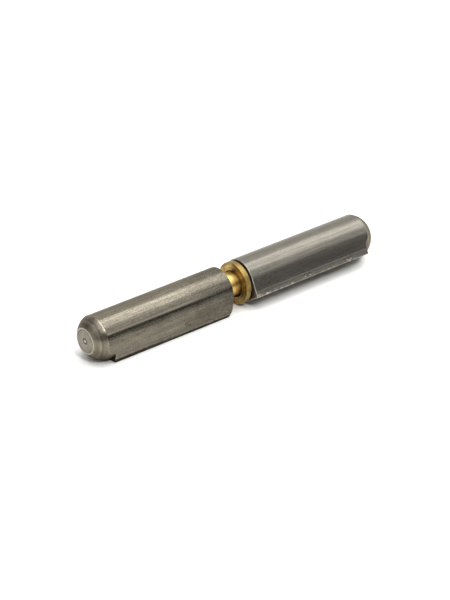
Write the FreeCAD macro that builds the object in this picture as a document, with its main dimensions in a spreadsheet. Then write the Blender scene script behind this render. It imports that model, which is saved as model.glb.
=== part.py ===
"""Weld on barrel hinge: two leaves of drop-shaped bar on a loose brass pin, with a brass washer between.

Frame: +Z up, the hinge axis along +X, the ground at Z = 0 and the origin midway between the leaves.
The near leaf lies at -X on one flank of its nose, and the far leaf at +X on the round of its barrel.
All sizes are millimetres.
"""
import FreeCAD, Part
import os
import Sketcher

# Driving sizes. Each can be changed by itself.
SIZES = {
    "barrel_dia": 16.0,        # round of the drop-shaped bar
    "nose_reach": 10.6,        # hinge axis to the tip of the welding nose
    "tip_round": 0.4,          # radius on the tip of the nose
    "leaf_length": 58.9,       # flat of the dome to the inner end
    "dome_radius": 8.6,        # ball radius of the turned end
    "ball_depth": 7.15,        # flat of the dome to the middle of its ball
    "near_shoulder_depth": 7.15,  # flat of the dome to the shoulder cut in the near leaf's nose
    "far_shoulder_depth": 6.2,    # the same on the far leaf, where it was cut less deep
    "pip_dia": 1.1,            # pip that the facing tool leaves in the middle of the flat
    "pip_height": 0.12,
    "end_chamfer": 0.2,        # broken edge round the inner end
    "bore_depth": 32.0,        # full-width depth of each blind bore
    "bore_chamfer": 0.4,       # broken edge at the mouth of the bore
    "drill_half_angle": 59.0,  # degrees, half the point angle of the drill
    "pin_dia": 8.8,
    "pin_clearance": 0.05,     # radial, pin in either bore
    "pin_end_play": 0.6,       # free length at each end of the pin when the hinge is closed
    "pin_chamfer": 0.8,
    "washer_inset": 0.2,       # radial, washer rim inside the round of the leaves
    "washer_clearance": 0.6,   # radial, washer on the pin
    "washer_thickness": 2.2,
    "washer_chamfer": 0.15,
    "leaf_gap": 9.05,          # inner end to inner end, as the leaves lie drawn apart
    "washer_float": 0.8,       # washer to the far leaf, as it lies
    "leaf_turn": 33.5,         # degrees, far leaf turned round the axis from the near leaf
    "cut_margin": 1.0,         # how far a cutting outline stands clear of the metal
}

# Sizes that follow from the driving ones.
DERIVED = {
    "barrel_r": "barrel_dia / 2",
    "tip_centre": "nose_reach - tip_round",
    "flank_angle": "acos((barrel_r - tip_round) / tip_centre)",
    "tangent_across": "barrel_r * sin(flank_angle)",
    "tangent_down": "barrel_r * cos(flank_angle)",
    "near_rotation": "-flank_angle",
    "far_rotation": "-flank_angle - leaf_turn * 1deg",
    "near_overhang": "tip_centre * sin(flank_angle) + tip_round",
    "far_overhang": "tip_centre * sin(flank_angle + leaf_turn * 1deg) + tip_round",
    "axis_y": "(max(near_overhang; far_overhang) - barrel_r) / 2",
    "near_face_x": "-leaf_gap / 2",
    "far_face_x": "leaf_gap / 2",
    "ball_x": "leaf_length - ball_depth",
    "near_shoulder_x": "leaf_length - near_shoulder_depth",
    "far_shoulder_x": "leaf_length - far_shoulder_depth",
    "flat_r": "sqrt(dome_radius ^ 2 - ball_depth ^ 2)",
    "past_end_x": "leaf_length + cut_margin",
    "past_nose_r": "max(nose_reach; dome_radius) + cut_margin",
    "pip_r": "pip_dia / 2",
    "pip_top_r": "pip_dia / 4",
    "pip_top_x": "leaf_length + pip_height",
    "pin_r": "pin_dia / 2",
    "bore_r": "pin_r + pin_clearance",
    "bore_mouth_r": "bore_r + bore_chamfer",
    "bore_point_x": "bore_depth + bore_r / tan(drill_half_angle * 1deg)",
    "pin_length": "2 * (bore_depth - pin_end_play) + washer_thickness",
    "pin_x": "far_face_x + bore_depth - pin_end_play - pin_length",
    "pin_end_r": "pin_r - pin_chamfer",
    "pin_shank_x": "pin_length - pin_chamfer",
    "washer_x": "far_face_x - washer_float - washer_thickness",
    "washer_r": "barrel_r - washer_inset",
    "washer_face_r": "washer_r - washer_chamfer",
    "hole_r": "pin_r + washer_clearance",
    "hole_face_r": "hole_r + washer_chamfer",
    "washer_rim_x": "washer_thickness - washer_chamfer",
}

H_AXIS, V_AXIS = range(-1, -3, -1)
ORIGIN = H_AXIS
START, END, CENTRE = range(1, 4)
ON_PLANE = 1e-6


def make_sheet(doc):
    """Spreadsheet of the sizes: names in column A, values with their aliases in column B."""
    sheet = doc.addObject("Spreadsheet::Sheet", "sheet")
    rows = [(name, str(value)) for name, value in SIZES.items()]
    rows += [(name, "=" + formula) for name, formula in DERIVED.items()]
    for number, (name, content) in enumerate(rows, start=1):
        sheet.set(f"A{number}", name)
        sheet.set(f"B{number}", content)
        sheet.setAlias(f"B{number}", name)
    doc.recompute()
    return sheet


def size(sheet, name):
    """A cell's value as a plain number, or zero where there is no name."""
    if name is None:
        return 0.0
    value = sheet.get(name)
    return float(getattr(value, "Value", value))


def make_sketch(body, name, role):
    """Sketch on the body's own origin plane that has this role."""
    sketch = body.newObject("Sketcher::SketchObject", name)
    plane = [item for item in body.Origin.OriginFeatures if item.Role == role][0]
    sketch.AttachmentSupport = [(plane, "")]
    sketch.MapMode = "FlatFace"
    return sketch


def bind(sketch, constraint, name):
    """Add a constraint whose value follows a cell of the sheet."""
    index = sketch.addConstraint(constraint)
    sketch.setExpression(f"Constraints[{index}]", f"sheet.{name}")


def place_x(sketch, sheet, geo, end, name, side):
    """Set a point's distance along the axis, on the side that the leaf points to."""
    value = size(sheet, name)
    if side > 0:
        bind(sketch, Sketcher.Constraint("DistanceX", ORIGIN, START, geo, end, value), name)
    else:
        bind(sketch, Sketcher.Constraint("DistanceX", geo, end, ORIGIN, START, value), name)


def place_r(sketch, sheet, geo, end, name):
    """Set a point's distance from the hinge axis."""
    value = size(sheet, name)
    bind(sketch, Sketcher.Constraint("DistanceY", ORIGIN, START, geo, end, value), name)


def join_ends(sketch, lines):
    """Join each line's end to the next line's start, round to the first."""
    for here, there in zip(lines, lines[1:] + lines[:1]):
        sketch.addConstraint(Sketcher.Constraint("Coincident", here, END, there, START))


def section(body, sheet, name, corners, side=1):
    """Closed half section of straight lines beside the axis, each corner two cells (along, out)."""
    sketch = make_sketch(body, name, "XZ_Plane")
    points = [FreeCAD.Vector(side * size(sheet, along), size(sheet, out), 0) for along, out in corners]
    lines = []
    for here, there in zip(points, points[1:] + points[:1]):
        lines.append(sketch.addGeometry(Part.LineSegment(here, there)))
    join_ends(sketch, lines)
    for line, (along, out) in zip(lines, corners):
        if along is None:
            sketch.addConstraint(Sketcher.Constraint("PointOnObject", line, START, V_AXIS))
        else:
            place_x(sketch, sheet, line, START, along, side)
        if out is None:
            sketch.addConstraint(Sketcher.Constraint("PointOnObject", line, START, H_AXIS))
        else:
            place_r(sketch, sheet, line, START, out)
    return sketch


def turn(body, kind, name, sketch):
    """Turn a half section right round the hinge axis, to add metal or to cut it."""
    feature = body.newObject(kind, name)
    feature.Profile = sketch
    feature.ReferenceAxis = (sketch, ["H_Axis"])
    feature.Angle = 360
    return feature


def drop_outline(body, sheet):
    """Outline of the drawn bar: a round with two flanks that run off it to a rounded tip below."""
    sketch = make_sketch(body, "drop_outline", "YZ_Plane")
    barrel_r = size(sheet, "barrel_r")
    tip_round = size(sheet, "tip_round")
    tip_centre = size(sheet, "tip_centre")
    out_y, out_z = size(sheet, "tangent_across"), -size(sheet, "tangent_down")
    tip_y = out_y * tip_round / barrel_r
    tip_z = out_z * tip_round / barrel_r - tip_centre
    top = FreeCAD.Vector(0, barrel_r, 0)
    right, left = FreeCAD.Vector(out_y, out_z, 0), FreeCAD.Vector(-out_y, out_z, 0)
    tip_right, tip_left = FreeCAD.Vector(tip_y, tip_z, 0), FreeCAD.Vector(-tip_y, tip_z, 0)
    tip_low = FreeCAD.Vector(0, -tip_centre - tip_round, 0)

    barrel = sketch.addGeometry(Part.Arc(right, top, left))
    flank_left = sketch.addGeometry(Part.LineSegment(left, tip_left))
    tip = sketch.addGeometry(Part.Arc(tip_left, tip_low, tip_right))
    flank_right = sketch.addGeometry(Part.LineSegment(tip_right, right))

    sketch.addConstraint(Sketcher.Constraint("Coincident", barrel, CENTRE, ORIGIN, START))
    sketch.addConstraint(Sketcher.Constraint("Tangent", barrel, END, flank_left, START))
    sketch.addConstraint(Sketcher.Constraint("Tangent", flank_left, END, tip, START))
    sketch.addConstraint(Sketcher.Constraint("Tangent", tip, END, flank_right, START))
    sketch.addConstraint(Sketcher.Constraint("Tangent", flank_right, END, barrel, START))
    sketch.addConstraint(Sketcher.Constraint("PointOnObject", tip, CENTRE, V_AXIS))
    bind(sketch, Sketcher.Constraint("Radius", barrel, barrel_r), "barrel_r")
    bind(sketch, Sketcher.Constraint("Radius", tip, tip_round), "tip_round")
    down = Sketcher.Constraint("DistanceY", tip, CENTRE, ORIGIN, START, tip_centre)
    bind(sketch, down, "tip_centre")
    return sketch


def dome_outline(body, sheet, side, shoulder_x):
    """What the lathe takes off: everything outside the ball, out to the shoulder in the nose."""
    sketch = make_sketch(body, "dome_outline", "XZ_Plane")
    radius = size(sheet, "dome_radius")
    ball_x = side * size(sheet, "ball_x")
    shoulder = side * size(sheet, shoulder_x)
    past_end = side * size(sheet, "past_end_x")
    past_nose = size(sheet, "past_nose_r")
    end = side * size(sheet, "leaf_length")
    flat_r = size(sheet, "flat_r")
    middle = FreeCAD.Vector(ball_x, 0, 0)
    top = FreeCAD.Vector(shoulder, (radius ** 2 - (shoulder - ball_x) ** 2) ** 0.5, 0)
    rim = FreeCAD.Vector(end, flat_r, 0)
    half_way = middle + (top - middle + rim - middle).normalize() * radius

    ball = sketch.addGeometry(Part.Arc(rim, half_way, top))
    corners = [top, FreeCAD.Vector(shoulder, past_nose, 0), FreeCAD.Vector(past_end, past_nose, 0),
               FreeCAD.Vector(past_end, flat_r, 0), rim]
    lines = [sketch.addGeometry(Part.LineSegment(a, b)) for a, b in zip(corners, corners[1:])]
    up, along, down, back = lines

    # The arc runs against the clock, so its start and end change over with the side.
    at_rim, at_top = (START, END) if side > 0 else (END, START)
    sketch.addConstraint(Sketcher.Constraint("Coincident", ball, at_top, up, START))
    sketch.addConstraint(Sketcher.Constraint("Coincident", up, END, along, START))
    sketch.addConstraint(Sketcher.Constraint("Coincident", along, END, down, START))
    sketch.addConstraint(Sketcher.Constraint("Coincident", down, END, back, START))
    sketch.addConstraint(Sketcher.Constraint("Coincident", back, END, ball, at_rim))
    sketch.addConstraint(Sketcher.Constraint("Vertical", up))
    sketch.addConstraint(Sketcher.Constraint("Horizontal", along))
    sketch.addConstraint(Sketcher.Constraint("Vertical", down))
    sketch.addConstraint(Sketcher.Constraint("Horizontal", back))
    sketch.addConstraint(Sketcher.Constraint("PointOnObject", ball, CENTRE, H_AXIS))
    bind(sketch, Sketcher.Constraint("Radius", ball, radius), "dome_radius")
    place_x(sketch, sheet, ball, CENTRE, "ball_x", side)
    place_x(sketch, sheet, ball, at_top, shoulder_x, side)
    place_x(sketch, sheet, ball, at_rim, "leaf_length", side)
    place_x(sketch, sheet, along, END, "past_end_x", side)
    place_r(sketch, sheet, along, END, "past_nose_r")
    return sketch


def end_edges(shape, inside_r):
    """Names of the edges round the inner end, without those of the bore."""
    names = []
    for number, edge in enumerate(shape.Edges, start=1):
        box = edge.BoundBox
        flat = abs(box.XMin) < ON_PLANE and abs(box.XMax) < ON_PLANE
        middle = edge.valueAt((edge.FirstParameter + edge.LastParameter) / 2)
        out = (middle.y ** 2 + middle.z ** 2) ** 0.5
        if flat and out > inside_r + ON_PLANE:
            names.append(f"Edge{number}")
    return names


def make_leaf(doc, sheet, label, side, face_x, shoulder_x, rotation):
    """One leaf: drawn bar, turned dome, blind bore, broken edge. Its nose points down before it is turned."""
    body = doc.addObject("PartDesign::Body", label)
    body.Label = label

    bar = body.newObject("PartDesign::Pad", "bar")
    bar.Profile = drop_outline(body, sheet)
    bar.Reversed = side < 0
    bar.setExpression("Length", "sheet.leaf_length")

    turn(body, "PartDesign::Groove", "dome", dome_outline(body, sheet, side, shoulder_x))

    pip_corners = [("leaf_length", None), ("leaf_length", "pip_r"), ("pip_top_x", "pip_top_r"),
                   ("pip_top_x", None)]
    turn(body, "PartDesign::Revolution", "pip", section(body, sheet, "pip_section", pip_corners, side))

    bore_corners = [(None, None), (None, "bore_mouth_r"), ("bore_chamfer", "bore_r"),
                    ("bore_depth", "bore_r"), ("bore_point_x", None)]
    turn(body, "PartDesign::Groove", "bore", section(body, sheet, "bore_section", bore_corners, side))
    doc.recompute()

    edge = body.newObject("PartDesign::Chamfer", "broken_edge")
    before = edge.BaseFeature
    edge.Base = (before, end_edges(before.Shape, size(sheet, "bore_mouth_r")))
    edge.setExpression("Size", "sheet.end_chamfer")

    body.Placement.Rotation = FreeCAD.Rotation(FreeCAD.Vector(1, 0, 0), size(sheet, rotation))
    body.setExpression("Placement.Rotation.Angle", f"sheet.{rotation}")
    put_on_axis(body, face_x)
    return body


def put_on_axis(body, along):
    """Set a piece on the hinge axis, starting where the named cell says."""
    body.setExpression("Placement.Base.x", f"sheet.{along}")
    body.setExpression("Placement.Base.y", "sheet.axis_y")
    body.setExpression("Placement.Base.z", "sheet.barrel_r")


def make_pin(doc, sheet):
    """Plain brass pin with both ends chamfered."""
    body = doc.addObject("PartDesign::Body", "hinge_pin")
    body.Label = "hinge_pin"
    corners = [(None, None), (None, "pin_end_r"), ("pin_chamfer", "pin_r"), ("pin_shank_x", "pin_r"),
               ("pin_length", "pin_end_r"), ("pin_length", None)]
    turn(body, "PartDesign::Revolution", "shank", section(body, sheet, "pin_section", corners))
    put_on_axis(body, "pin_x")
    return body


def make_washer(doc, sheet):
    """Turned brass washer, loose on the pin, with every edge broken."""
    body = doc.addObject("PartDesign::Body", "thrust_washer")
    body.Label = "thrust_washer"
    corners = [(None, "hole_face_r"), (None, "washer_face_r"), ("washer_chamfer", "washer_r"),
               ("washer_rim_x", "washer_r"), ("washer_thickness", "washer_face_r"),
               ("washer_thickness", "hole_face_r"), ("washer_rim_x", "hole_r"), ("washer_chamfer", "hole_r")]
    turn(body, "PartDesign::Revolution", "ring", section(body, sheet, "washer_section", corners))
    put_on_axis(body, "washer_x")
    return body


def check(doc, bodies):
    """Stop if any object failed or any piece is not one sound solid."""
    for item in doc.Objects:
        if "Invalid" in item.State or "Error" in item.State:
            raise RuntimeError(f"{item.Name} failed: {item.State}")
    for body in bodies:
        shape = body.Shape
        if shape.isNull() or not shape.isValid() or len(shape.Solids) != 1:
            raise RuntimeError(f"{body.Label} is not one sound solid")


def main():
    doc = FreeCAD.newDocument("weld_on_barrel_hinge")
    sheet = make_sheet(doc)
    bodies = [
        make_leaf(doc, sheet, "frame_leaf", -1, "near_face_x", "near_shoulder_x", "near_rotation"),
        make_leaf(doc, sheet, "door_leaf", 1, "far_face_x", "far_shoulder_x", "far_rotation"),
        make_pin(doc, sheet),
        make_washer(doc, sheet),
    ]
    doc.recompute()
    check(doc, bodies)
    os.makedirs("parts", exist_ok=True)
    for body in bodies:
        body.Shape.exportStep(f"parts/{body.Label}.step")
        box = body.Shape.BoundBox
        print(f"{body.Label}: {body.Shape.Volume:.1f} mm3, X {box.XMin:.2f} to {box.XMax:.2f},"
              f" Y {box.YMin:.2f} to {box.YMax:.2f}, Z {box.ZMin:.2f} to {box.ZMax:.2f}")


main()
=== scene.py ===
"""Weld on barrel hinge, dressed for its picture: leaves of drawn and turned steel on a turned brass
pin, with a brass thrust washer.

The frame has the hinge axis along +X, the ground at Z = 0 and the origin midway between the leaves.
Shapes are worked out in millimetres and set down in metres.
"""

import math

import bmesh
import bpy
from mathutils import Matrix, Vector, noise


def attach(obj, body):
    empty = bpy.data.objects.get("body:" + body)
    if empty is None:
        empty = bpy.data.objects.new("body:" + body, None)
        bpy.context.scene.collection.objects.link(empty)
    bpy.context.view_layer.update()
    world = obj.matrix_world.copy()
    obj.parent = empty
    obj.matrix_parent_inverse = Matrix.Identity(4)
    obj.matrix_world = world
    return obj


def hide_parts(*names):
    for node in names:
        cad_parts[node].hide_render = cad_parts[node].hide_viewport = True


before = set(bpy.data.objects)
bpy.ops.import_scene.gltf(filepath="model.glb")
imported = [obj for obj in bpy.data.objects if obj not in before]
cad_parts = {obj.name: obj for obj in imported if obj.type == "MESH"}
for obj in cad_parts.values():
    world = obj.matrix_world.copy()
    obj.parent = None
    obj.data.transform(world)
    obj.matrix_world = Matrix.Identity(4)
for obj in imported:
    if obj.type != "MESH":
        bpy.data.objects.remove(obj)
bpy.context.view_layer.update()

MM = 0.001

# The drop-shaped bar and what is turned on it, in millimetres.
BARREL_R = 8.0
NOSE_REACH = 10.6
TIP_R = 0.4
LEAF_LENGTH = 58.9
DOME_R = 8.6
BALL_DEPTH = 7.15
NEAR_SHOULDER = 7.15
FAR_SHOULDER = 6.2
PIP_R = 0.55
PIP_TOP_R = 0.275
PIP_HEIGHT = 0.12
BORE_R = 4.45
BORE_DEPTH = 32.0
DRILL_HALF_ANGLE = 59.0
BORE_POINT = BORE_DEPTH + BORE_R / math.tan(math.radians(DRILL_HALF_ANGLE))
BORE_CHAMFER = 0.4
END_CHAMFER = 0.22
LEAF_GAP = 9.05
AXIS_Y = 1.1338
AXIS_Z = BARREL_R

# Directions of the noses in the Y-Z plane, in degrees from +Y towards +Z.
NEAR_NOSE = 228.1675
FAR_NOSE = 194.6675

TIP_CENTRE = NOSE_REACH - TIP_R
FLANK_ANGLE = math.acos((BARREL_R - TIP_R) / TIP_CENTRE)
FLANK_LENGTH = TIP_CENTRE * math.sin(FLANK_ANGLE)
FLANK_END = TIP_R * FLANK_ANGLE + FLANK_LENGTH

# Pin and washer, in millimetres.
PIN_R = 4.4
PIN_START, PIN_END = -29.075, 35.925
PIN_CHAMFER = 0.8
WASHER_START, WASHER_END = 1.525, 3.725
WASHER_R = 7.8
WASHER_HOLE_R = 5.0
WASHER_CHAMFER = 0.22
WASHER_DROP = 0.14
HOLE_OFF_CENTRE = 0.2
HOLE_ZONE = (5.3, 7.0)

# Sockets of the Mix node when it mixes colours, and when it mixes values.
MIX_A, MIX_B, MIXED = 6, 7, 2
VALUE_A, VALUE_B = 2, 3


def linear(code):
    """An sRGB colour in hex as linear red, green, blue and alpha."""
    channels = [int(code[i:i + 2], 16) / 255 for i in (0, 2, 4)]
    bent = [c / 12.92 if c <= 0.04045 else ((c + 0.055) / 1.055) ** 2.4 for c in channels]
    return (*bent, 1.0)


def grey(level):
    """A plain grey, already linear."""
    return (level, level, level, 1.0)


def add(tree, kind, inputs=(), **settings):
    """Add a node: its settings, then each socket's plain value or the output that feeds it."""
    node = tree.nodes.new("ShaderNode" + kind)
    for name, value in settings.items():
        setattr(node, name, value)
    for socket, value in dict(inputs).items():
        if isinstance(value, bpy.types.NodeSocket):
            tree.links.new(value, node.inputs[socket])
        else:
            node.inputs[socket].default_value = value
    return node


def stored(tree, name):
    """A value that the mesh holds at its points."""
    return add(tree, "Attribute", attribute_name=name).outputs["Fac"]


def sums(tree, operation, *values):
    """Plain arithmetic on up to three values."""
    return add(tree, "Math", dict(enumerate(values)), operation=operation).outputs[0]


def remap(tree, value, span, to_span=(0.0, 1.0)):
    """The value with one span laid over another, and held at its ends."""
    return add(tree, "MapRange", {"Value": value, "From Min": span[0], "From Max": span[1],
                                  "To Min": to_span[0], "To Max": to_span[1]}).outputs["Result"]


def blend(tree, factor, first, second):
    """The first colour where the factor is 0, and the second where it is 1."""
    return add(tree, "Mix", {"Factor": factor, MIX_A: first, MIX_B: second},
               data_type="RGBA").outputs[MIXED]


def scaled(tree, colour, tone):
    """The colour made lighter or darker."""
    return add(tree, "VectorMath", {0: colour, "Scale": tone}, operation="SCALE").outputs[0]


def cell_vector(tree, place, along, across):
    """Coordinates stretched so that one cell of a pattern is along by across millimetres."""
    scale = (1000 / along, 1000 / across, 1000 / across)
    return add(tree, "VectorMath", {0: place, 1: scale}, operation="MULTIPLY").outputs[0]


def cloud(tree, vector, detail, roughness=0.5):
    """Noise from 0 to 1 with cells the size of the vector's units."""
    return add(tree, "TexNoise", {"Vector": vector, "Scale": 1.0, "Detail": detail,
                                  "Roughness": roughness}).outputs["Fac"]


# Spans that noise mostly keeps to: the wider the span, the softer the pattern made of it.
FIRM, SOFT, SOFTEST = (0.3, 0.7), (0.25, 0.75), (0.2, 0.8)


def blank_material(name):
    """Empty node material, and its tree."""
    material = bpy.data.materials.new(name)
    material.use_nodes = True
    material.node_tree.nodes.clear()
    return material, material.node_tree


# The lay of the metal is the UV map's first direction, and light fans out across it.
ACROSS_LAY = 0.25


def bare_metal(tree, colour, dull, height, relief, fan, glance=(1.0, 1.0, 1.0)):
    """Bare metal with fine marks along its lay: relief is their height in mm, fan how far they
    spread the light across them, and glance the tint of what comes back at a glancing angle."""
    bump = add(tree, "Bump", {"Height": height, "Distance": relief * MM, "Strength": 1.0})
    tangent = add(tree, "Tangent", direction_type="UV_MAP", uv_map="lay").outputs["Tangent"]
    shader = add(tree, "BsdfPrincipled", {"Base Color": colour, "Metallic": 1.0, "Roughness": dull,
                                          "Specular Tint": (*glance, 1.0), "Anisotropic": fan,
                                          "Anisotropic Rotation": ACROSS_LAY,
                                          "Normal": bump.outputs["Normal"], "Tangent": tangent})
    add(tree, "OutputMaterial", {"Surface": shader.outputs[0]})


# The drawn skin: how far its patterns lighten and darken it, how much smoother and rougher its
# grain makes it, the height of draw lines and pits as shares of draw_depth, where a pit's rim lies
# and where pits are, how dirt and painted shade darken and dull it, how smooth the edges are where
# they are rubbed and where a highlight is painted, how far the lay spreads the light, and the
# warmth of what comes back at a glancing angle.
LINE_TONE, GRAIN_TONE, MOTTLE_TONE = 0.35, 0.55, 0.16
STREAK_TONES = (0.94, 1.06)
GRIT_SMOOTHER, GRIT_ROUGHER = 0.08, 0.1
LINE_RELIEF, PIT_RELIEF = 0.6, -2.5
PIT_RIM = (0.05, 0.13)
PIT_PATCHES = (0.5, 0.6)
PIT_COLOUR = "2E2A25"
DIRT_AND_SHADE_TONE = (-0.75, -0.45)
DIRT_AND_SHADE_DULLS = 0.15
RUBBED_ROUGHNESS = 0.22
SKIN_FAN = 0.2
GLANCE_WARMTH = (1.0, 0.97, 0.92)


def steel_skin(name, body, stain, bright, rough, draw_depth, grit, glance, seed):
    """Mild steel bar drawn cold through a die and lightly oiled: dull warm grey, soft streaks along
    the bar, blotches where the oil dried, small dark pits, and bright edges where the pieces knock
    together, with highlights painted on some edges. A stored value darkens and dulls it with dirt
    and painted shade. Grit is how strongly the grain of the surface shows, and glance how much
    light it gives back at a glancing angle, where oxide and oil dull it, both from 0 to 1."""
    material, tree = blank_material(name)
    place = add(tree, "TexCoord").outputs["Object"]
    place = add(tree, "VectorMath", {0: place, 1: (seed, 0.0, 0.0)}, operation="ADD").outputs[0]
    # The edge value: rubbed edges and painted highlights where the light catches them.
    edge = stored(tree, "rubbed_edge_and_sheen")
    # Dirt in the nicks and painted shade: a dark band on the round and a painted shadow along the
    # tip.
    dirt_and_shade = stored(tree, "dirt_and_painted_shade")

    # Draw lines: about 25 mm long and 0.5 mm wide, drawn a little coarse so that they show.
    lines = cloud(tree, cell_vector(tree, place, 25.0, 0.5), 3.0, 0.6)
    # Broad streaks left by the die, 60 mm by 2.2 mm.
    streaks = cloud(tree, cell_vector(tree, place, 60.0, 2.2), 2.0)
    # Oil and handling blotches, 7 mm by 4.5 mm.
    blotches = cloud(tree, cell_vector(tree, place, 7.0, 4.5), 5.0, 0.62)
    # Grain of the scale, 0.6 mm by 0.3 mm: as fine as the picture can hold.
    grain = cloud(tree, cell_vector(tree, place, 0.6, 0.32), 1.0, 0.7)
    # Mottle and scuffs, 3 mm by 1 mm, where leaves have lain against each other.
    mottle = cloud(tree, cell_vector(tree, place, 3.2, 1.1), 3.0, 0.6)
    # Pits, up to 0.5 mm across and a few millimetres apart, only where a blotch is.
    pits = add(tree, "TexVoronoi", {"Vector": cell_vector(tree, place, 2.4, 2.4), "Scale": 1.0,
                                    "Randomness": 1.0}).outputs["Distance"]
    pits = sums(tree, "MULTIPLY", remap(tree, pits, PIT_RIM, (1.0, 0.0)),
                remap(tree, blotches, PIT_PATCHES))

    colour = blend(tree, remap(tree, blotches, FIRM), linear(stain), linear(body))
    dirt_and_shade_tone = remap(tree, blotches, FIRM, DIRT_AND_SHADE_TONE)
    tone = remap(tree, streaks, FIRM, STREAK_TONES)
    for part in (
            remap(tree, lines, SOFT, (0.9 - LINE_TONE * grit, 1.1 + LINE_TONE * grit)),
            remap(tree, grain, SOFT, (1 - GRAIN_TONE * grit, 1 + GRAIN_TONE * grit)),
            remap(tree, mottle, FIRM, (1 - MOTTLE_TONE * grit, 1 + MOTTLE_TONE * grit)),
            # Dirt and painted shade darken the colour.
            sums(tree, "MULTIPLY_ADD", dirt_and_shade, dirt_and_shade_tone, 1.0)):
        tone = sums(tree, "MULTIPLY", tone, part)
    colour = blend(tree, pits, scaled(tree, colour, tone), linear(PIT_COLOUR))
    # Edges lighten where rubbed and where a highlight is painted.
    colour = blend(tree, edge, colour, linear(bright))

    dull = remap(tree, grain, SOFTEST, (rough - GRIT_SMOOTHER * grit, rough + GRIT_ROUGHER * grit))
    dull = sums(tree, "MULTIPLY_ADD", dirt_and_shade, DIRT_AND_SHADE_DULLS, dull)
    dull = add(tree, "Mix", {"Factor": edge, VALUE_A: dull, VALUE_B: RUBBED_ROUGHNESS},
               data_type="FLOAT").outputs[0]

    height = 0.0
    for pattern, share in ((lines, LINE_RELIEF), (grain, grit), (pits, PIT_RELIEF)):
        height = sums(tree, "MULTIPLY_ADD", pattern, share, height)
    glance_tint = [glance * part for part in GLANCE_WARMTH]
    bare_metal(tree, colour, dull, height, draw_depth, SKIN_FAN, glance_tint)
    return material


def ring_cloud(tree, pitch, detail):
    """Rings round the axis. The turned_path is millimetres along the cut, so the pitch is a real
    one, shown a little coarse."""
    step = sums(tree, "MULTIPLY", stored(tree, "turned_path"), 1.0 / pitch)
    return cloud(tree, add(tree, "CombineXYZ", {"X": step}).outputs["Vector"], detail, 0.7)


# Turned surfaces: how much smoother and rougher their grain makes them, its height as a share of
# the rings' on steel and on brass, how rings and grain lighten and darken steel, and what steel
# looks like where it is burnished and where a glint is painted.
TURNED_SMOOTHER, TURNED_ROUGHER = 0.05, 0.08
STEEL_GRAIN_RELIEF, BRASS_GRAIN_RELIEF = 0.3, 0.35
STEEL_RING_TONES, STEEL_GRAIN_TONES = (0.5, 1.45), (0.8, 1.2)
BURNISH_AND_GLINT = "DAD6CD"
BURNISH_AND_GLINT_ROUGHNESS = 0.1
STEEL_FAN = 0.45
STEEL_GLANCE = (0.6, 0.58, 0.55)


def turned_steel(name, body, shade, rough, ring_pitch, ring_depth):
    """Steel turned on a lathe: cleaner and lighter than the drawn skin, with fine rings round the
    axis that fan the light out, and a dusting of dark dust in the rings. Stored dirt and painted
    shade darken it, and it is lighter where it is burnished and where a glint is painted."""
    material, tree = blank_material(name)
    place = add(tree, "TexCoord").outputs["Object"]
    # The edge value: burnished edges and painted glints.
    edge = stored(tree, "rubbed_edge_and_sheen")
    rings = ring_cloud(tree, ring_pitch, 3.0)
    # Grain of 0.5 mm, and smudges of 3.5 mm that lighten and darken it.
    grain = cloud(tree, cell_vector(tree, place, 0.5, 0.5), 2.0)
    smudges = cloud(tree, cell_vector(tree, place, 3.5, 3.5), 4.0, 0.6)
    colour = blend(tree, remap(tree, smudges, (0.35, 0.65)), linear(shade), linear(body))
    tone = remap(tree, rings, FIRM, STEEL_RING_TONES)
    tone = sums(tree, "MULTIPLY", tone, remap(tree, grain, SOFT, STEEL_GRAIN_TONES))
    # Dirt and painted shade darken the turned steel.
    undarkened = sums(tree, "MULTIPLY_ADD", stored(tree, "dirt_and_painted_shade"), -1.0, 1.0)
    colour = scaled(tree, colour, sums(tree, "MULTIPLY", tone, undarkened))
    colour = blend(tree, edge, colour, linear(BURNISH_AND_GLINT))
    dull = remap(tree, grain, SOFTEST, (rough - TURNED_SMOOTHER, rough + TURNED_ROUGHER))
    dull = add(tree, "Mix", {"Factor": edge, VALUE_A: dull, VALUE_B: BURNISH_AND_GLINT_ROUGHNESS},
               data_type="FLOAT").outputs[0]
    height = sums(tree, "MULTIPLY_ADD", grain, STEEL_GRAIN_RELIEF, rings)
    bare_metal(tree, colour, dull, height, ring_depth, STEEL_FAN, STEEL_GLANCE)
    return material


def turned_brass(name, body, shade, rough, ring_pitch, ring_depth, ring_tones, fan):
    """Free-cutting brass, turned and left bare: warm yellow, bright along the cut, browner where
    it has begun to tarnish, with fine tool rings that fan the light out."""
    material, tree = blank_material(name)
    place = add(tree, "TexCoord").outputs["Object"]
    rings = ring_cloud(tree, ring_pitch, 2.0)
    # Grain of 0.45 mm, and patches of tarnish of 2.6 mm.
    grain = cloud(tree, cell_vector(tree, place, 0.45, 0.45), 2.0)
    tarnish = cloud(tree, cell_vector(tree, place, 2.6, 2.6), 4.0, 0.6)
    colour = blend(tree, remap(tree, tarnish, (0.36, 0.64)), linear(shade), linear(body))
    colour = scaled(tree, colour, remap(tree, rings, FIRM, ring_tones))
    dull = remap(tree, grain, SOFTEST, (rough - TURNED_SMOOTHER, rough + TURNED_ROUGHER))
    height = sums(tree, "MULTIPLY_ADD", grain, BRASS_GRAIN_RELIEF, rings)
    bare_metal(tree, colour, dull, height, ring_depth, fan)
    return material


def white_card(name):
    """Matt white card sweep: plain, with a faint tooth."""
    material, tree = blank_material(name)
    place = add(tree, "TexCoord").outputs["Object"]
    tooth = add(tree, "TexNoise", {"Vector": place, "Scale": 900.0, "Detail": 2.0}).outputs["Fac"]
    bump = add(tree, "Bump", {"Height": tooth, "Distance": 0.02 * MM, "Strength": 0.3})
    shader = add(tree, "BsdfPrincipled", {"Base Color": linear("F6F6F4"), "Roughness": 0.95,
                                          "Specular IOR Level": 0.2,
                                          "Normal": bump.outputs["Normal"]})
    add(tree, "OutputMaterial", {"Surface": shader.outputs[0]})
    return material


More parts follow.
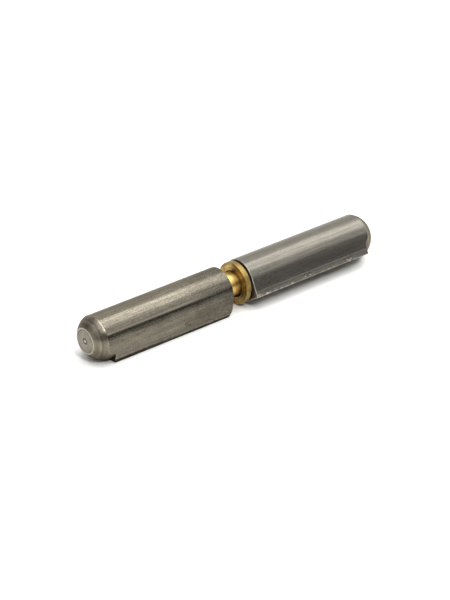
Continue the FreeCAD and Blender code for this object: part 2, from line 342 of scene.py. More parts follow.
def rise(value, low, high):
    """Smooth step from 0 at low to 1 at high."""
    t = min(max((value - low) / (high - low), 0.0), 1.0)
    return t * t * (3 - 2 * t)


def spread(start, end, count):
    """Evenly spaced values, both ends included."""
    return [start + (end - start) * i / (count - 1) for i in range(count)]


class Column:
    """One point of the bar's outline, seen along the bar with the nose pointing to +u."""

    def __init__(self, u, w, facing, around, from_tip):
        self.u, self.w = u, w              # place, mm
        self.facing = facing               # direction of the outward normal, radians
        self.around = around               # mm round the outline from the tip
        self.from_tip = from_tip           # mm from the tip, either way
        self.polar = math.atan2(w, u)      # direction from the hinge axis, radians
        self.out = math.hypot(u, w)        # distance from the hinge axis, mm


TIP_STEPS = 5
BARREL_STEPS = 112
# Distances from the end of the tip's round to the rest of the flank, close together near the tip.
FLANK_STOPS = (0.2, 0.4, 0.65, 0.9, 1.2, 1.45, 1.65, 1.8, 2.05, 2.4, 2.9, FLANK_LENGTH - 3.156,
               4.2, 4.9, 5.6, 6.3, FLANK_LENGTH)


def half_outline():
    """Columns from the middle of the tip along one flank to the start of the barrel."""
    columns = []
    tip_arc = TIP_R * FLANK_ANGLE
    for i in range(TIP_STEPS + 1):
        angle = FLANK_ANGLE * i / TIP_STEPS
        u = TIP_CENTRE + TIP_R * math.cos(angle)
        w = TIP_R * math.sin(angle)
        columns.append(Column(u, w, angle, TIP_R * angle, TIP_R * angle))
    start_u, start_w = columns[-1].u, columns[-1].w
    along_u = -math.sin(FLANK_ANGLE)
    along_w = math.cos(FLANK_ANGLE)
    for stop in FLANK_STOPS:
        u, w = start_u + along_u * stop, start_w + along_w * stop
        columns.append(Column(u, w, FLANK_ANGLE, tip_arc + stop, tip_arc + stop))
    return columns


def drop_outline():
    """All columns, from the middle of the tip right round, and the girth."""
    half = half_outline()
    flank_end = half[-1].around
    columns = list(half)
    for i in range(1, BARREL_STEPS):
        angle = FLANK_ANGLE + (2 * math.pi - 2 * FLANK_ANGLE) * i / BARREL_STEPS
        u, w = BARREL_R * math.cos(angle), BARREL_R * math.sin(angle)
        around = flank_end + BARREL_R * (angle - FLANK_ANGLE)
        nearer = min(angle - FLANK_ANGLE, 2 * math.pi - FLANK_ANGLE - angle)
        columns.append(Column(u, w, angle, around, flank_end + BARREL_R * nearer))
    girth = 2 * flank_end + BARREL_R * (2 * math.pi - 2 * FLANK_ANGLE)
    for column in reversed(half[1:]):
        columns.append(Column(column.u, -column.w, -column.facing, girth - column.around,
                              column.from_tip))
    return columns, girth


def ball_radius(depth):
    """Radius of the turned dome at this depth behind its flat, mm."""
    return math.sqrt(DOME_R ** 2 - (BALL_DEPTH - depth) ** 2)


def ball_depth(out):
    """Depth behind the flat at which the dome's ball has this radius, mm."""
    return BALL_DEPTH - math.sqrt(DOME_R ** 2 - min(out, DOME_R) ** 2)


def put_in_scene(name, data):
    """An object that shows this data, linked into the scene."""
    item = bpy.data.objects.new(name, data)
    bpy.context.scene.collection.objects.link(item)
    return item


def settle(bm, name, finishes, sharp_angle):
    """Clean a built mesh, give it its finishes and sharp edges and put it in the scene."""
    bmesh.ops.remove_doubles(bm, verts=bm.verts, dist=1e-7)
    bmesh.ops.dissolve_degenerate(bm, edges=bm.edges, dist=1e-8)
    bmesh.ops.recalc_face_normals(bm, faces=bm.faces)
    data = bpy.data.meshes.new(name)
    bm.to_mesh(data)
    bm.free()
    for finish in finishes:
        data.materials.append(finish)
    data.set_sharp_from_angle(angle=math.radians(sharp_angle))
    return put_in_scene(name, data)


# Zones of a leaf, which are the places of their finishes too.
BORE, END_FACE, SKIN, TURNED, FLAT = range(5)
LEAF_SHARP_ANGLE = 17

# Where each turned part starts on the turned_path, mm, so that no two share their rings.
BORE_PATH, DOME_PATH, EDGE_PATH, MOUTH_PATH, SHOULDER_PATH = 5.0, 20.0, 30.0, 40.0, 60.0

# Rings of points on a leaf: how many on each part, where they lie on the bar in mm from its inner
# end, and the shares of what is left of the bar at the last few.
POINT_RINGS, BORE_RINGS, MOUTH_RINGS, END_RINGS, EDGE_RINGS, DOME_RINGS = 4, 9, 3, 9, 6, 44
STATIONS = (0.3, 0.42, 0.6, 0.8, 1.05, 1.35, 1.7, *spread(2.1, 50.9, 140))
LAST_SHARES = (0.62, 0.34, 0.16, 0.07, 0.03)

# Rings on the flat: mm from the axis, height above the flat, and how bright they are rubbed.
# FLAT_RELIEF is what a height of 1 stands for, mm.
FLAT_RINGS = (
    (4.66, 0.03, 0.4), (4.5, 0.02, 0.1), (4.25, -0.01, 0.0), (4.0, -0.07, 0.0), (3.8, -0.01, 0.0),
    (3.4, 0.01, 0.0), (3.0, -0.01, 0.0), (2.6, 0.015, 0.0), (2.2, -0.015, 0.0), (1.8, 0.01, 0.0),
    (1.5, -0.02, 0.0), (1.25, 0.0, 0.0), (1.0, -0.05, 0.0), (0.75, -0.08, 0.0),
    (PIP_R, -0.05, 0.0), (PIP_R * 0.85, 0.03, 0.0), (PIP_TOP_R * 1.25, PIP_HEIGHT * 0.85, 0.5),
    (PIP_TOP_R * 0.7, PIP_HEIGHT, 0.5), (0.0, PIP_HEIGHT, 0.5))
FLAT_RELIEF = 0.6

# Waves that the die leaves in the skin: length along the bar, size across it and height, mm, and
# where each reads the noise. Bare numbers in a place in the noise only keep the patterns apart.
DIE_WAVES = ((22.0, 3.2, 0.012, 0.0), (5.0, 1.6, 0.003, 9.0))

# The lip of the nose: how wide it is, how far the skin is hollow there, and how wide the filed
# relief under the tip is, mm.
LIP_WIDTH = 2.0
LIP_HOLLOW = 0.06
RELIEF_WIDTH = 2.4

# The chamfer at the inner end: how much it wavers, over how many mm, and the shares of it along and
# in from the skin at its middle. The burr's brightness fades out over these mm on either side.
CHAMFER_WAVER = 0.35
CHAMFER_WAVE = 1.7
CHAMFER_MIDDLE = (0.45, 0.38)
BURR_ON_FACE = 0.2
BURR_ON_SKIN = 0.1
MOUTH_BRIGHT = 0.5

# The edge between the bar and the dome, mm: its width on the barrel and in the nose's shoulder, and
# how far the bar has to stand out past the ball for a shoulder.
WORN_WIDTH = 0.13
SHOULDER_WIDTH = 0.03
SHOULDER_LEAST = 0.02

# The side where the edge between bar and dome is brightest, worn and with a painted glint where
# the light catches it, in degrees from +Y towards +Z, how many degrees from it that fades, how
# bright the edge is elsewhere, and over how many mm it fades on the bar and on the dome.
GLINT_SIDE = 125
WORN_FADE = (6.0, 26.0)
WORN_LEAST = 0.06
WORN_ON_BAR = (0.1, 0.35)
WORN_ON_DOME = 0.25
# The bright edge is uneven: its mean, how much it varies and over how many mm.
KNOCK_MEAN, KNOCK_VARIES, KNOCK_LENGTH = 0.7, 0.5, 0.7

# The rubbed rim of the flat, and over which angle of the ball it fades, radians. Tool feed on the
# dome: length along the cut and height, mm.
RIM_BRIGHT = 0.25
RIM_ANGLE = 0.02
DOME_FEED = 0.7
DOME_FEED_HEIGHT = 0.008

# Nicks: how steep their sides are, how dark and how steep their dirt is, and how far below them it
# lies, as a share of their half width.
NICK_STEEP = 2.0
NICK_DIRT = 1.4
NICK_DIRT_STEEP = 1.5
NICK_DIRT_SHIFT = 0.4

# The near leaf's painted shade: a dark band where the round turns down to the flank, darker and
# duller towards the inner end, and a painted shadow in a strip along the tip. "Down" is mm from
# the start of the flank towards the tip, so that a minus is on the round, and "along" is mm from
# the inner end.
BAND_DARK, BAND_PALER = 0.75, 0.25
BAND_STARTS_DOWN, BAND_PALES_DOWN, BAND_ENDS_DOWN = (-4.2, -3.3), (-3.0, -2.0), (-2.2, 0.8)
END_DARK, END_PALER = 0.8, 0.3
END_STARTS_DOWN, END_PALES_DOWN, END_STOPS_ALONG = (-4.8, -3.8), (1.5, 5.0), (3.0, 28.0)
STRIP_DARK, STRIP_SOFT = 1.3, 0.12
CUFF_DARK, CUFF_STOPS_ALONG = 0.45, (5.0, 24.0)

# Rubbed places on the nose are patchy: over how many mm, how bright on the whole, how much less so
# away from the inner end, and the value that is fully rubbed.
PATCH_LENGTH, PATCH_MEAN, PATCH_FULL = 1.3, 0.7, 0.9
PATCH_FALLS, PATCH_FALLS_ALONG = 0.35, (1.0, 30.0)
# A bright line past the painted shadow strip, a painted highlight along a ridge on the round past
# the flank, the tip, the burr at the inner corner, and painted highlights on the crease of the lip
# and on the lip itself: how bright, where, and the mm over which each fades.
LINE_PAST_STRIP, LINE_FADE = 0.35, (0.1, 0.3)
RIDGE_BRIGHT, RIDGE_PAST_FLANK, RIDGE_FADE, RIDGE_STARTS_ALONG = 0.5, 4.9, (0.15, 0.6), (3.0, 24.0)
TIP_FADE = (0.4, 0.95)
CORNER_BRIGHT, CORNER_FADE, CORNER_ENDS_ALONG = 1.3, (0.7, 1.5), (0.6, 2.6)
CREASE_BRIGHT, CREASE_FADE = 0.2, (0.05, 0.25)
LIP_BRIGHT, LIP_START = 0.1, 0.4

# How dark the hollow of the nose's shoulder is made, a painted shade, and dirt left by the
# lathe on the flat: mm from the axis, how dark, and the mm to either side over which it fades.
SHOULDER_SHADE = 0.75
FLAT_DIRT = ((0.9, 0.7, 0.12, 0.4), (4.05, 0.5, 0.08, 0.25))


class Leaf:
    """Makes one leaf's mesh: every column of the outline is followed from the bore's point, out of
    the bore, over the end face, along the bar, over the dome and to the middle of its flat."""

    def __init__(self, side, nose, seed, shoulder, lip_side, nicks, knocked, relief, shadow_strip, burr,
                 rub, wear, dirt_and_shade):
        self.side = side                   # -1 for the near leaf and 1 for the far one
        self.nose = math.radians(nose)
        self.seed = seed
        self.shoulder = shoulder           # depth of the shoulder cut behind the flat, mm
        self.lip_side = lip_side           # side of the nose, in w, that has the lip
        self.nicks = nicks
        self.knocked = knocked             # length and depth of the knock on the nose's corner, mm
        self.relief = relief               # filed off under the tip, at inner end and dome, mm
        self.shadow_strip = shadow_strip                 # width of the strip of painted shadow along the tip, at inner end and dome, mm
        self.burr = burr                   # brightness of the burr, from 0 to 1, as the next two
        self.rub = rub
        self.wear = wear
        self.dirt_and_shade = dirt_and_shade                   # how strong the painted shade and the painted ridge highlight are, from 0 to 1
        self.columns, self.girth = drop_outline()

    def signed_from_tip(self, column):
        return column.from_tip if column.w >= 0 else -column.from_tip

    def from_nick(self, s, column, nick, shift=0.0):
        """How far the nick's middle is, in its own half length and half width, squared."""
        at, across, length, width, _ = nick
        aside = self.signed_from_tip(column) - across + width * shift
        return ((s - at) / length) ** 2 + (aside / width) ** 2

    def ripple(self, s, column):
        """How far the drawn skin stands off the true outline, mm: waves from the die, nicks and a
        hollow."""
        wave = 0.0
        for along, across, height, start in DIE_WAVES:
            spot = (s / along, column.u / across, column.w / across + self.seed + start)
            wave += noise.noise(Vector(spot)) * height
        if column.from_tip < FLANK_LENGTH and column.w * self.lip_side > 0:
            if column.from_tip < LIP_WIDTH:
                wave -= LIP_HOLLOW * column.from_tip / LIP_WIDTH
            else:
                wave -= LIP_HOLLOW * (1 - rise(column.from_tip, LIP_WIDTH, FLANK_LENGTH))
        for nick in self.nicks:
            depth = nick[-1]
            wave -= depth * math.exp(-self.from_nick(s, column, nick) * NICK_STEEP)
        return wave

    def knock_off(self, s, u):
        """Height of the nose above the axis once its inner corner has been knocked round."""
        length, depth = self.knocked
        if s >= length:
            return u
        drop = 1 - math.sqrt(max(0.0, 1 - ((length - s) / length) ** 2))
        return min(u, NOSE_REACH - drop * depth)

    def along_bar(self, ends, s):
        """What goes evenly from one value at the inner end to another at the dome."""
        return ends[0] + (ends[1] - ends[0]) * s / LEAF_LENGTH

    def file_off(self, s, u, w):
        """The point once the lip side of the tip has been filed to a bevel."""
        up_u, up_w = math.cos(FLANK_ANGLE), math.sin(FLANK_ANGLE) * self.lip_side
        height = BARREL_R - (u * up_u + w * up_w)
        from_tip = math.hypot(NOSE_REACH - u, w)
        filed = self.along_bar(self.relief, s)
        lift = filed * (1 - from_tip / RELIEF_WIDTH) - height
        if filed == 0 or lift <= 0:
            return u, w
        return u - up_u * lift, w - up_w * lift

    def past_strip(self, s, column):
        """How far this point is past the dark strip along the tip, mm."""
        return column.from_tip - self.along_bar(self.shadow_strip, s)

    def dirt_and_painted_shade(self, s, column):
        """How dark the skin is made, from 0 to 1: dirt in its nicks, and on the front side a dark
        band of painted shade where the round turns down, darker towards the inner end, and a
        painted shadow in a strip along the tip that widens to the dome."""
        dirt = 0.0
        for nick in self.nicks:
            away = self.from_nick(s, column, nick, NICK_DIRT_SHIFT)
            dirt = max(dirt, NICK_DIRT * math.exp(-away * NICK_DIRT_STEEP))
        if column.w >= 0 or self.dirt_and_shade == 0:
            return dirt
        down = FLANK_END - column.from_tip
        # Painted shade: the dark band where the round turns down to the flank.
        band = rise(down, *BAND_STARTS_DOWN) * (1 - rise(down, *BAND_ENDS_DOWN))
        band *= BAND_DARK - BAND_PALER * rise(down, *BAND_PALES_DOWN)
        # Darker towards the inner end, below the round.
        end = END_DARK - END_PALER * rise(down, *END_PALES_DOWN)
        end *= (1 - rise(s, *END_STOPS_ALONG)) * rise(down, *END_STARTS_DOWN)
        # Painted shadow: a dark strip along the tip, where the nose meets the table.
        shadow_strip = STRIP_DARK * (1 - rise(self.past_strip(s, column), -STRIP_SOFT, STRIP_SOFT))
        # Darker and duller towards the inner end, all round.
        cuff = CUFF_DARK * (1 - rise(s, *CUFF_STOPS_ALONG))
        return max(dirt, self.dirt_and_shade * max(band, end, shadow_strip, cuff))

    def turning_dirt_and_shade(self, zone, out):
        """How dark a turned place is, from 0 to 1: painted shade in the hollow of the nose's
        shoulder, and dirt left by the lathe round the flat's pip and in the groove inside its rim."""
        if zone != FLAT:
            # Painted shade in the hollow of the nose's shoulder.
            return SHOULDER_SHADE if out > SHOULDER_PATH else 0.0
        return sum(dark * (1 - rise(abs(out - at), *fade)) for at, dark, *fade in FLAT_DIRT)

    def worn_and_glint(self, column):
        """How bright the bar-dome edge is: wear and a painted glint, brightest where the light
        falls.
        """
        up = (math.degrees(column.facing + self.nose) - GLINT_SIDE) % 360
        spot = Vector((column.around / KNOCK_LENGTH, self.seed, 2.0))
        uneven = KNOCK_MEAN + KNOCK_VARIES * noise.noise(spot)
        return WORN_LEAST + self.wear * uneven * (1 - rise(min(up, 360 - up), *WORN_FADE))

    def rubbed_and_sheen(self, s, column):
        """How bright the nose is, 0 to 1: the rubbed tip and inner corner, painted highlights on
        the crease and the lip, and on the other flank a bright line past the painted shadow strip
        and a painted highlight along the ridge on the round.
        """
        from_tip = column.from_tip
        patchy = noise.noise(Vector((s / PATCH_LENGTH, self.seed, 1.0))) + PATCH_MEAN
        spots = rise(patchy - PATCH_FALLS * rise(s, *PATCH_FALLS_ALONG), 0.0, PATCH_FULL)
        if column.w * self.lip_side < 0:
            past_line = abs(self.past_strip(s, column) - LINE_PAST_STRIP)
            line = self.rub * spots * (1 - rise(past_line, *LINE_FADE))
            # Painted highlight along a ridge on the round.
            past_ridge = abs(from_tip - FLANK_END - RIDGE_PAST_FLANK)
            ridge = self.dirt_and_shade * RIDGE_BRIGHT * (1 - rise(past_ridge, *RIDGE_FADE))
            return max(line, ridge * rise(s, *RIDGE_STARTS_ALONG))
        tip = self.rub * spots * (1 - rise(from_tip, *TIP_FADE))
        corner = CORNER_BRIGHT * self.burr * (1 - rise(s, *CORNER_ENDS_ALONG))
        corner *= 1 - rise(from_tip, *CORNER_FADE)
        # Painted highlights on the crease of the lip and on the lip.
        crease = CREASE_BRIGHT * (1 - rise(abs(from_tip - LIP_WIDTH), *CREASE_FADE))
        lip = LIP_BRIGHT * (1 - rise(from_tip, LIP_START, LIP_WIDTH))
        return max(tip, corner, crease, lip)

    def follow(self, column):
        """Points (s, u, w, zone, path, edge) of one column; s runs from inner end to dome."""
        points = []
        ring_u, ring_w = math.cos(column.polar), math.sin(column.polar)

        def put(s, out, zone, path, edge):
            points.append((s, out * ring_u, out * ring_w, zone, path, edge))

        def skin_place(s, set_in):
            off = self.ripple(s, column) - set_in
            u = column.u + math.cos(column.facing) * off
            w = column.w + math.sin(column.facing) * off
            u, w = self.file_off(s, u, w)
            return self.knock_off(s, u), w

        def put_skin(s, set_in, edge):
            points.append((s, *skin_place(s, set_in), SKIN, 0.0, edge))

        # The bore, from its point to its mouth.
        for step in spread(0.0, 1.0, POINT_RINGS):
            s = BORE_POINT + (BORE_DEPTH - BORE_POINT) * step
            put(s, BORE_R * step, BORE, BORE_PATH * step, 0.0)
        for s in spread(BORE_DEPTH, BORE_CHAMFER, BORE_RINGS)[1:]:
            put(s, BORE_R, BORE, BORE_PATH + BORE_DEPTH - s, 0.0)
        for step in spread(0.0, 1.0, MOUTH_RINGS)[1:]:
            put(BORE_CHAMFER * (1 - step), BORE_R + BORE_CHAMFER * step, END_FACE,
                MOUTH_PATH + step, MOUTH_BRIGHT)

        # The end face and its chamfer.
        waver = noise.noise(Vector((column.around / CHAMFER_WAVE, self.seed, 4.0)))
        chamfer = END_CHAMFER * (1 + CHAMFER_WAVER * waver)
        inner_u, inner_w = (BORE_R + BORE_CHAMFER) * ring_u, (BORE_R + BORE_CHAMFER) * ring_w
        outer_u, outer_w = skin_place(0.0, chamfer)
        for step in spread(0.0, 1.0, END_RINGS)[1:]:
            u, w = inner_u + (outer_u - inner_u) * step, inner_w + (outer_w - inner_w) * step
            away = math.hypot(outer_u - u, outer_w - w)
            edge = self.burr * (1 - rise(away, 0.0, BURR_ON_FACE))
            points.append((0.0, u, w, END_FACE, math.hypot(u, w), edge))
        middle_s, middle_in = CHAMFER_MIDDLE
        put_skin(chamfer * middle_s, chamfer * middle_in, self.burr)
        put_skin(chamfer, 0.0, self.burr)

        # The drawn skin, up to the cut.
        depth = min(ball_depth(column.out), self.shoulder)
        last = LEAF_LENGTH - depth
        for s in STATIONS:
            edge = self.burr * (1 - rise(s - chamfer, 0.0, BURR_ON_SKIN))
            put_skin(s, 0.0, max(edge, self.rubbed_and_sheen(s, column)))
        in_nose = ball_radius(depth) < column.out - SHOULDER_LEAST
        width = SHOULDER_WIDTH if in_nose else WORN_WIDTH
        left = last - width - STATIONS[-1]
        for share in LAST_SHARES:
            s = last - width - left * share
            edge = WORN_LEAST * (1 - rise(last - s, *WORN_ON_BAR))
            put_skin(s, 0.0, max(edge, self.rubbed_and_sheen(s, column)))
        put_skin(last - width, 0.0, self.worn_and_glint(column))

        # Where the bar stands out past the ball, this is the square shoulder in the nose, and
        # elsewhere the worn edge.
        ball_start = math.acos((BALL_DEPTH - depth) / DOME_R) - width / DOME_R
        ball_end = math.acos(BALL_DEPTH / DOME_R)
        foot_s = LEAF_LENGTH - BALL_DEPTH + DOME_R * math.cos(ball_start)
        foot_u = DOME_R * math.sin(ball_start) * ring_u
        foot_w = DOME_R * math.sin(ball_start) * ring_w
        edge_s, edge_u, edge_w = points[-1][:3]
        # The edge value here: wear and a painted glint.
        edge, path = (0.0, SHOULDER_PATH) if in_nose else (self.worn_and_glint(column), EDGE_PATH)
        for step in spread(0.0, 1.0, EDGE_RINGS)[1:]:
            u, w = edge_u + (foot_u - edge_u) * step, edge_w + (foot_w - edge_w) * step
            s = edge_s + (foot_s - edge_s) * step
            points.append((s, u, w, TURNED, path + math.hypot(u, w), edge))

        # The dome and its flat.
        for step in spread(0.0, 1.0, DOME_RINGS)[1:]:
            angle = ball_start + (ball_end - ball_start) * step
            s = LEAF_LENGTH - BALL_DEPTH + DOME_R * math.cos(angle)
            spot = Vector((angle * DOME_R / DOME_FEED, 3.0, self.seed))
            feed = noise.noise(spot) * DOME_FEED_HEIGHT
            past_edge = step * (ball_start - ball_end) * DOME_R
            edge = self.worn_and_glint(column) * (1 - rise(past_edge, 0.0, WORN_ON_DOME))
            rim = RIM_BRIGHT * rise(angle, ball_end + RIM_ANGLE, ball_end)
            put(s, DOME_R * math.sin(angle) + feed, TURNED, DOME_PATH - angle * DOME_R,
                max(edge, rim))
        for out, proud, edge in FLAT_RINGS:
            put(LEAF_LENGTH + proud * FLAT_RELIEF, out, FLAT, out, edge)
        return points

    def build(self, name, materials):
        """The leaf as a piece in the scene."""
        columns = [self.follow(column) for column in self.columns]
        bm = bmesh.new()
        path_layer = bm.verts.layers.float.new("turned_path")
        edge_layer = bm.verts.layers.float.new("rubbed_edge_and_sheen")
        dirt_and_shade_layer = bm.verts.layers.float.new("dirt_and_painted_shade")
        lay = bm.loops.layers.uv.new("lay")
        cos_nose, sin_nose = math.cos(self.nose), math.sin(self.nose)
        grid = []
        for column, points in zip(self.columns, columns):
            line = []
            for s, u, w, zone, path, edge in points:
                x = self.side * (LEAF_GAP / 2 + s)
                y = AXIS_Y + u * cos_nose - w * sin_nose
                z = max(AXIS_Z + u * sin_nose + w * cos_nose, 0.0)
                vert = bm.verts.new((x * MM, y * MM, z * MM))
                vert[path_layer] = path
                vert[edge_layer] = edge
                # Dirt and painted shade, on the skin and on the turned parts.
                dark = self.dirt_and_painted_shade(s, column) if zone == SKIN else self.turning_dirt_and_shade(zone, path)
                vert[dirt_and_shade_layer] = dark
                line.append(vert)
            grid.append(line)
        count = len(grid)
        rings = len(grid[0])
        for j in range(count):
            n = (j + 1) % count
            here, there = grid[j], grid[n]
            around = (self.columns[j].around, self.columns[n].around or self.girth)
            for k in range(rings - 1):
                corners = (here[k], there[k], there[k + 1], here[k + 1])
                if self.side > 0:
                    corners = corners[::-1]
                face = bm.faces.new(corners)
                zone = columns[j][k + 1][3]
                face.material_index = zone
                face.smooth = True
                for loop in face.loops:
                    ring = k if loop.vert in (here[k], there[k]) else k + 1
                    turn = around[0] if loop.vert in (here[k], here[k + 1]) else around[1]
                    if zone == SKIN:
                        loop[lay].uv = (columns[j][ring][0] / LEAF_LENGTH, turn / self.girth)
                    else:
                        loop[lay].uv = (turn / self.girth, ring / rings)
        return settle(bm, name, materials, LEAF_SHARP_ANGLE)


LATHE_SHARP_ANGLE = 25


def lathe(name, section, finishes, steps, drop=0.0, off_centre=0.0):
    """Turn a closed section of (x, out) points round the hinge axis, mm. The piece can hang a
    little low, and rings within HOLE_ZONE lower still, as in a washer whose hole was bored off its
    centre. The first finish covers the piece, and a second one its rim."""
    bm = bmesh.new()
    path_layer = bm.verts.layers.float.new("turned_path")
    lay = bm.loops.layers.uv.new("lay")
    runs = [0.0]
    for (x0, r0), (x1, r1) in zip(section, section[1:]):
        runs.append(runs[-1] + math.hypot(x1 - x0, r1 - r0))
    rings = []
    for (x, out), run in zip(section, runs):
        low = drop + off_centre * (1 - rise(out, *HOLE_ZONE))
        ring = []
        for i in range(steps):
            angle = 2 * math.pi * i / steps
            y, z = AXIS_Y + out * math.cos(angle), AXIS_Z + out * math.sin(angle) - low
            vert = bm.verts.new((x * MM, y * MM, z * MM))
            vert[path_layer] = run
            ring.append(vert)
        rings.append(ring)
    for k in range(len(rings) - 1):
        on_rim = min(section[k][1], section[k + 1][1]) > WASHER_R - WASHER_CHAMFER
        for i in range(steps):
            n = (i + 1) % steps
            face = bm.faces.new((rings[k][i], rings[k][n], rings[k + 1][n], rings[k + 1][i]))
            face.smooth = True
            if len(finishes) > 1 and on_rim:
                face.material_index = 1
            for loop in face.loops:
                turn = i if loop.vert in (rings[k][i], rings[k + 1][i]) else i + 1
                level = k if loop.vert in (rings[k][i], rings[k][n]) else k + 1
                loop[lay].uv = (turn / steps, level / len(rings))
    return settle(bm, name, finishes, LATHE_SHARP_ANGLE)


# Traces of tool feed: their length along the axis and their height, mm.
PIN_FEED, PIN_FEED_HEIGHT = 0.9, 0.004
RIM_FEED, RIM_FEED_HEIGHT = 0.35, 0.01
# How near the middle of a broken edge lies to the corner, as a share of the chamfer.
BROKEN_EDGE = 0.3
# Points round the axis, and along each part of a section.
PIN_STEPS, WASHER_STEPS = 128, 160
PIN_END_POINTS, PIN_SHANK_POINTS = 5, 160
WASHER_FACE_POINTS, WASHER_RIM_POINTS, WASHER_HOLE_POINTS = 14, 12, 6


def pin_section():
    """Outline of the pin from one end to the other, with its chamfers and a trace of tool feed."""
    points = [(PIN_START, out) for out in spread(0.0, PIN_R - PIN_CHAMFER, PIN_END_POINTS)]
    for x in spread(PIN_START + PIN_CHAMFER, PIN_END - PIN_CHAMFER, PIN_SHANK_POINTS):
        feed = noise.noise(Vector((x / PIN_FEED, 0.0, 7.0)))
        points.append((x, PIN_R + PIN_FEED_HEIGHT * feed))
    points += [(PIN_END, out) for out in spread(PIN_R - PIN_CHAMFER, 0.0, PIN_END_POINTS)]
    return points


def washer_section():
    """Outline of the washer, closed on itself, with every edge broken."""
    start, end, c = WASHER_START, WASHER_END, WASHER_CHAMFER
    corner = c * BROKEN_EDGE
    face = (WASHER_HOLE_R + c, WASHER_R - c)
    points = [(start, out) for out in spread(*face, WASHER_FACE_POINTS)]
    points.append((start + corner, WASHER_R - corner))
    for x in spread(start + c, end - c, WASHER_RIM_POINTS):
        feed = noise.noise(Vector((x / RIM_FEED, 2.0, 5.0)))
        points.append((x, WASHER_R + RIM_FEED_HEIGHT * feed))
    points.append((end - corner, WASHER_R - corner))
    points += [(end, out) for out in spread(*face[::-1], WASHER_FACE_POINTS)]
    points.append((end - corner, WASHER_HOLE_R + corner))
    points += [(x, WASHER_HOLE_R) for x in spread(end - c, start + c, WASHER_HOLE_POINTS)]
    points += [(start + corner, WASHER_HOLE_R + corner), points[0]]
    return points


# Finishes. The two leaves were cut from the same bar, the far one a little cleaner. Roughness is as
# the shader takes it, and pitches and depths are in millimetres.
near_skin = steel_skin(
    "cold_drawn_mild_steel_near", body="746F63", stain="6B655A", bright="B4AC9C", rough=0.18,
    draw_depth=0.003, grit=0.6, glance=0.62, seed=0.0)
far_skin = steel_skin(
    "cold_drawn_mild_steel_far", body="716E66", stain="6B6860", bright="CFC8BA", rough=0.24,
    draw_depth=0.001, grit=0.25, glance=0.85, seed=0.4)
dome_steel = turned_steel(
    "lathe_turned_mild_steel", body="807A6D", shade="665E51", rough=0.38, ring_pitch=1.1,
    ring_depth=0.01)
flat_steel = turned_steel(
    "faced_mild_steel", body="8E897F", shade="7A756B", rough=0.3, ring_pitch=0.5, ring_depth=0.02)
face_steel = turned_steel(
    "sawn_and_faced_mild_steel", body="827D74", shade="625E56", rough=0.42, ring_pitch=0.3,
    ring_depth=0.012)
bore_steel = turned_steel(
    "drilled_mild_steel", body="6E675C", shade="4C463D", rough=0.4, ring_pitch=0.3,
    ring_depth=0.012)
pin_brass = turned_brass(
    "turned_free_cutting_brass_pin", body="E2C47A", shade="D4AE62", rough=0.34, ring_pitch=0.9,
    ring_depth=0.003, ring_tones=(0.85, 1.1), fan=0.3)
washer_face = turned_brass(
    "turned_free_cutting_brass_washer_face", body="C6A968", shade="80643A", rough=0.32,
    ring_pitch=0.8, ring_depth=0.015, ring_tones=(0.3, 1.35), fan=0.72)
washer_rim = turned_brass(
    "drawn_brass_bar_washer_rim", body="9A844E", shade="7C6538", rough=0.5, ring_pitch=0.35,
    ring_depth=0.012, ring_tones=(0.65, 1.25), fan=0.2)

# Nicks in the skin: mm from the inner end, mm from the tip (+ or - for the two flanks), and half
# length, half width and depth, mm.
NEAR_NICKS = (
    (1.9, -16.8, 0.5, 0.4, 0.14), (1.6, -3.2, 0.5, 0.4, 0.14), (4.9, -4.2, 0.5, 0.35, 0.12),
    (8.1, -3.9, 0.4, 0.4, 0.1), (19.4, -3.2, 0.5, 0.4, 0.15), (20.4, -3.95, 0.55, 0.4, 0.16),
    (21.5, -4.4, 0.4, 0.35, 0.12))
FAR_NICKS = (
    (4.4, -0.5, 0.5, 0.3, 0.25), (6.6, 0.0, 0.5, 0.4, 0.12), (10.2, 0.0, 0.8, 0.4, 0.12),
    (16.3, -0.4, 0.5, 0.3, 0.25), (17.4, -0.1, 0.4, 0.3, 0.15), (22.6, -1.0, 0.5, 0.25, 0.25),
    (23.6, -0.4, 0.4, 0.3, 0.3), (24.6, -1.0, 0.5, 0.25, 0.25), (33.9, -0.3, 0.5, 0.3, 0.25),
    (41.2, -0.3, 0.4, 0.3, 0.25), (42.4, -0.9, 0.4, 0.25, 0.28), (43.4, -0.35, 0.4, 0.3, 0.3),
    (44.4, -1.0, 0.4, 0.25, 0.25), (51.0, -0.1, 0.6, 0.3, 0.12))

# Only the near leaf has the painted shade and the painted shadow along its tip.
near_leaf = Leaf(
    side=-1, nose=NEAR_NOSE, seed=0.0, shoulder=NEAR_SHOULDER, lip_side=1, nicks=NEAR_NICKS,
    knocked=(2.3, 2.8), relief=(0.15, 0.3), shadow_strip=(0.85, 1.5), burr=0.12, rub=0.35, wear=0.25,
    dirt_and_shade=1.0).build("near_leaf", (bore_steel, face_steel, near_skin, dome_steel, flat_steel))
far_leaf = Leaf(
    side=1, nose=FAR_NOSE, seed=30.0, shoulder=FAR_SHOULDER, lip_side=-1, nicks=FAR_NICKS,
    knocked=(0.35, 0.3), relief=(0.0, 0.0), shadow_strip=(0.0, 0.0), burr=0.6, rub=0.5, wear=0.05,
    dirt_and_shade=0.0).build("far_leaf", (bore_steel, face_steel, far_skin, dome_steel, flat_steel))
pin = lathe("brass_pin", pin_section(), (pin_brass,), PIN_STEPS)
washer = lathe("brass_thrust_washer", washer_section(), (washer_face, washer_rim), WASHER_STEPS,
               drop=WASHER_DROP, off_centre=HOLE_OFF_CENTRE)

for piece, body, node, slot in (
        (near_leaf, "frame_leaf_body", "frame_leaf", "drawn_steel"),
        (far_leaf, "door_leaf_body", "door_leaf", "drawn_steel"),
        (pin, "pin_body", "hinge_pin", "turned_brass"),
        (washer, "washer_body", "thrust_washer", "turned_brass")):
    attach(piece, body)
    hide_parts(node)

